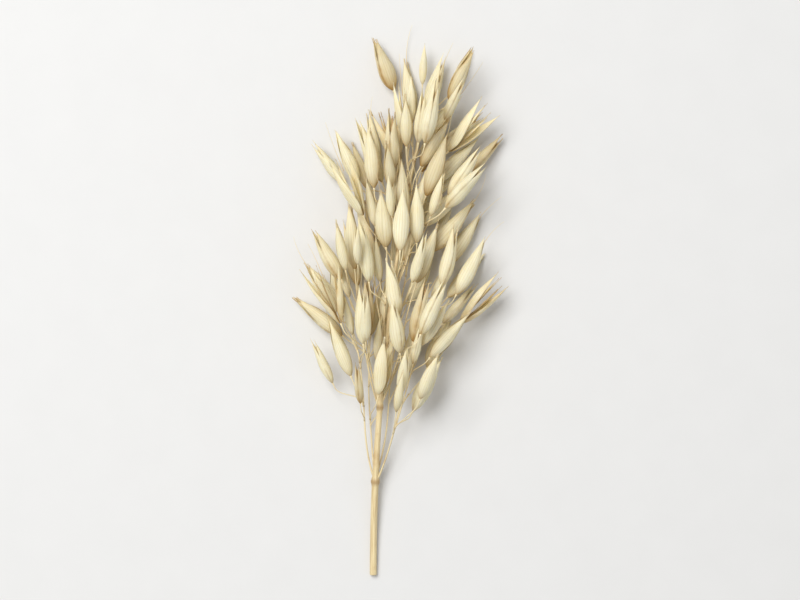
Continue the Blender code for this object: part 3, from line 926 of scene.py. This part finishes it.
def curl(root, along, draw):
    """Steps of equal length whose heading turns from one direction to another by bend * t, as it curls."""
    heading = lean_from(along, *BARE_LEAN, draw)
    aside = unit(np.cross(heading, any_direction(draw)))
    t = np.linspace(0, 1, BARE_POINTS)[:, None]
    bend = math.radians(draw.uniform(*BARE_BEND))
    steps = np.cos(bend * t) * heading + np.sin(bend * t) * aside
    return root + np.cumsum(steps, axis=0) * draw.uniform(*BARE_LENGTH) / len(t) - steps[0] * BARE_SUNK


bare = 0
while bare < BARE_WANTED:
    line = curl(*fork_of(draw), draw)
    if line[:, 2].min() < BARE_LIFT * BARE_RADIUS or bodies.gap(line, BARE_GUARD * BARE_RADIUS) < SPACE:
        continue
    t, _ = run_of(line)
    knob = 1 + KNOB * np.exp(-(((1 - t) / KNOB_REACH) ** 2))
    radii = BARE_RADIUS * (BARE_START - BARE_TAPER * t) * knob
    plant.add(sweep(line, radii, BARE_SIDES), t, BARE_PALE, closed=True)
    bare += 1
straw = plant.build("straw_and_threads", "pale", STRAW)
settle(straw, "straw_and_branches")
print(bare, "bare threads; straw and threads in", len(straw.data.polygons), "faces")

# %% [markdown]
# ## The outer husks
#
# Two husks close over each other. The upper one wraps a little past the middle and covers the edges of
# the lower one, which is the shorter. Where they gape, both stop short of the middle. They are sheets a
# tenth of a millimetre thick, so each is made as a bare surface and a Solidify modifier gives it its
# wall.

# %% Make the outer husks
OPEN_WRAPS, CLOSED_WRAPS = (76, 74), (98, 87)
LOWER_WIDTH = 0.95


def thicken(piece, wall):
    solid = piece.modifiers.new("wall", "SOLIDIFY")
    solid.thickness = wall
    solid.offset = -1.0


def outer_husks(seat):
    habit = habits[seat.label]
    upper_wrap, lower_wrap = OPEN_WRAPS if seat.open else CLOSED_WRAPS
    shape = Shape()
    for side, wrap, width, reach in ((1, upper_wrap, 1.0, 1.0), (-1, lower_wrap, LOWER_WIDTH, SHORT_HUSK)):
        grid, along = blade(seat, habit, side, wrap, width=width, reach=reach)
        shape.add(grid, along, habit.tone)
    piece = shape.build(f"husks_{seat.label}", "tone", HUSK)
    thicken(piece, HUSK_WALL)
    settle(piece, seat.node)
    return piece


outer = [outer_husks(seat) for seat in seats + small_seats]
print(len(outer), "pairs of outer husks")

# %% [markdown]
# ## What is between the husks
#
# A closed spikelet holds two florets: slim spindles that fill it out and show as a paler line where the
# husks part. In an open one the grain has dropped, and the florets' own thin husks stand between the
# outer ones like a loosely held fan. So closed spikelets get spindles, and open ones get four narrower
# blades, each of which leans its own way.

# %% Make the florets
SPINDLE_SIDES = 14
SPINDLE_ROWS = 17
SPINDLE_ENDS = (0.02, 0.99)
SPINDLE_DEPTH, SPINDLE_LEAN = 0.36, 0.12
SPINDLES = (
    # side, start, reach, thick
    (1, 0.04, 0.80, 0.66),
    (-1, 0.12, 0.86, 0.58),
)
INNER_BLADES = (
    # side, wrap, width, depth, reach, lift, lean
    (1, 62, 0.60, 0.55, 0.93, 0.56, 0.07),
    (-1, 60, 0.56, 0.50, 0.88, 0.60, -0.09),
    (1, 54, 0.42, 0.35, 0.97, 0.20, -0.05),
    (-1, 52, 0.38, 0.30, 0.80, 0.16, 0.10),
)


def spindle(seat, habit, side, start, reach, thick):
    """A closed body: at u its radii are thick times the husk's own, about a line that leans to one side."""
    u = np.linspace(*SPINDLE_ENDS, SPINDLE_ROWS)[:, None]
    angle = np.pi / 2 + np.linspace(0, 2 * np.pi, SPINDLE_SIDES, endpoint=False)[None, :]
    x = HUSK_WIDTH / 2 * thick * habit.plump * fullness(u) * np.sin(angle)
    lean = side * SPINDLE_LEAN * np.sin(np.pi * u)
    z = HUSK_THICKNESS * seat.girth * (SPINDLE_DEPTH * thick * fullness(u) * np.cos(angle) + lean)
    share = start + (reach - start) * u
    local = np.stack([x, seat.length * share * np.ones_like(angle), z], axis=-1)
    return seat.put(warp(local, share, seat.length, habit)), u[:, 0]


def add_spindles(shape, seat, habit):
    for measures in SPINDLES:
        grid, along = spindle(seat, habit, *measures)
        shape.add(grid, along, habit.tone, closed=True)


def florets(seat):
    habit = habits[seat.label]
    shape = Shape()
    if seat.open:
        for inner_blade in INNER_BLADES:
            grid, along = blade(seat, habit, *inner_blade)
            shape.add(grid, along, habit.tone)
    else:
        add_spindles(shape, seat, habit)
    piece = shape.build(f"florets_{seat.label}", "tone", INNER_HUSK)
    if seat.open:
        thicken(piece, HUSK_WALL)
    settle(piece, seat.node)
    return piece


inner = [florets(seat) for seat in seats]
small_shape = Shape()
for seat in small_seats:
    add_spindles(small_shape, seat, habits[seat.label])
small_florets = small_shape.build("florets_small", "tone", INNER_HUSK)
settle(small_florets, None)
print(len(inner), "sets of florets, and the smaller ones in", len(small_florets.data.polygons), "faces")

# %% [markdown]
# ## Bristles
#
# Some florets carry a bristle, called an awn: a stiff hair, twisted at its root, that comes out between
# the husks, bends once and runs on past the tip. Fewer than half of the large spikelets still have
# theirs, and no two bend alike.

# %% Make the bristles
AWN_SHARE = 0.42
AWN_RADIUS, AWN_TAPER = 0.00013, 0.65
AWN_SIDES, AWN_POINTS = 6, 26
AWN_ROOT = 0.72
AWN_LENGTH = (0.014, 0.022)
AWN_TURN = (12, 38)
AWN_TURN_POWER = 1.5
AWN_RISE = (-0.05, 0.05)
BRISTLE_SEED = 5


def bristle(seat, draw):
    """A line that leaves along the axis and turns away by an angle that grows with t^1.5."""
    habit = habits[seat.label]
    t = np.linspace(0, 1, AWN_POINTS)
    length = draw.uniform(*AWN_LENGTH)
    turn = math.radians(draw.uniform(*AWN_TURN)) * draw.choice((-1, 1))
    heading = turn * t**AWN_TURN_POWER
    step = length / (len(t) - 1)
    x = np.cumsum(np.sin(heading)) * step
    y = seat.length * AWN_ROOT + np.cumsum(np.cos(heading)) * step
    z = draw.uniform(*AWN_RISE) * length * t**2
    local = warp(np.stack([x, y, z], axis=-1), np.full(len(t), AWN_ROOT), seat.length, habit)
    line = seat.put(local)
    line[:, 2] = np.maximum(line[:, 2], TABLE_GAP + AWN_RADIUS)
    shape = Shape()
    radii = AWN_RADIUS * (1 - AWN_TAPER * t)
    shape.add(sweep(line, radii, AWN_SIDES), t, habit.tone, closed=True)
    piece = shape.build(f"awn_{seat.label}", "tone", AWN)
    settle(piece, seat.node)
    return piece


draw = random.Random(BRISTLE_SEED)
awns = [bristle(seat, draw) for seat in seats if draw.random() < AWN_SHARE]
print(len(awns), "bristles")

# %% [markdown]
# ## Table and light
#
# The head lies on a plain pale table under broad, soft light, with the camera straight above. One large
# lamp to the upper left shapes the husks, a weaker one on the other side keeps the shadows open, and a
# pale sky fills in what both leave.

# %% Table
FLOOR_SIZE = 3.0
TABLE_DARK, TABLE_PALE = (0.68, 0.68, 0.675), (0.71, 0.71, 0.705)
TABLE_GRAIN_SCALE = 60.0
TABLE_BUMP = 0.00005


def table_finish():
    """Matt white board with a grain too faint to see as a pattern."""
    finish = Finish("table")
    grain = finish.noise(finish.place(), TABLE_GRAIN_SCALE)
    colour = finish.blend(grain, TABLE_DARK, TABLE_PALE)
    return finish.finish(
        Base_Color=colour,
        Roughness=grain * 0.1 + 0.8,
        Normal=finish.bump(grain, TABLE_BUMP, 0.1),
    )


half = FLOOR_SIZE / 2
floor_mesh = bpy.data.meshes.new("table")
corners = [(-half, -half, 0), (half, -half, 0), (half, half, 0), (-half, half, 0)]
floor_mesh.from_pydata(corners, [], [(0, 1, 2, 3)])
floor_mesh.materials.append(table_finish())
floor = bpy.data.objects.new("table", floor_mesh)
bpy.context.scene.collection.objects.link(floor)
floor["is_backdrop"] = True
print("table", FLOOR_SIZE, "m across")

# %% Light
LAMPS = (
    # name, place, size, watts
    ("key_lamp", (-0.60, 0.52, 1.50), 1.0, 27.0),
    ("fill_lamp", (0.70, -0.35, 0.80), 0.9, 0.7),
)
LAMP_TARGET = (0, 0, 0.01)
SKY_COLOUR, SKY_STRENGTH = (1.0, 0.99, 0.97, 1.0), 0.46


def aim(thing, place, target):
    """Puts a lamp or a camera at a place and points it at the target."""
    thing.location = place
    away = Vector(place) - Vector(target)
    thing.rotation_euler = away.to_track_quat("Z", "Y").to_euler()


for name, place, size, watts in LAMPS:
    lamp = bpy.data.lights.new(name, "AREA")
    lamp.size = size
    lamp.energy = watts
    holder = bpy.data.objects.new(name, lamp)
    bpy.context.scene.collection.objects.link(holder)
    aim(holder, place, LAMP_TARGET)

world = bpy.data.worlds.new("studio")
world.use_nodes = True
sky = world.node_tree.nodes["Background"].inputs
sky["Color"].default_value = SKY_COLOUR
sky["Strength"].default_value = SKY_STRENGTH
bpy.context.scene.world = world
bpy.context.scene.view_settings.view_transform = "Standard"
print(len(LAMPS), "lamps and a pale sky")

# %% Camera
CAMERA_HEIGHT = 1.1
FRAME_FILL = 0.93
PICTURE_SHAPE = 600 / 800
SENSOR_WIDTH = 36.0
low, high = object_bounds()
middle = (low + high) / 2
lens = bpy.data.cameras.new("camera")
lens.sensor_width = SENSOR_WIDTH
drop = CAMERA_HEIGHT - high.z / 2
lens.lens = FRAME_FILL * lens.sensor_width * PICTURE_SHAPE * drop / (high.y - low.y)
camera = bpy.data.objects.new("camera", lens)
camera.location = (middle.x, middle.y, CAMERA_HEIGHT)
bpy.context.scene.collection.objects.link(camera)
bpy.context.scene.camera = camera
print(f"camera {CAMERA_HEIGHT} m above the table, lens {lens.lens:.0f} mm")
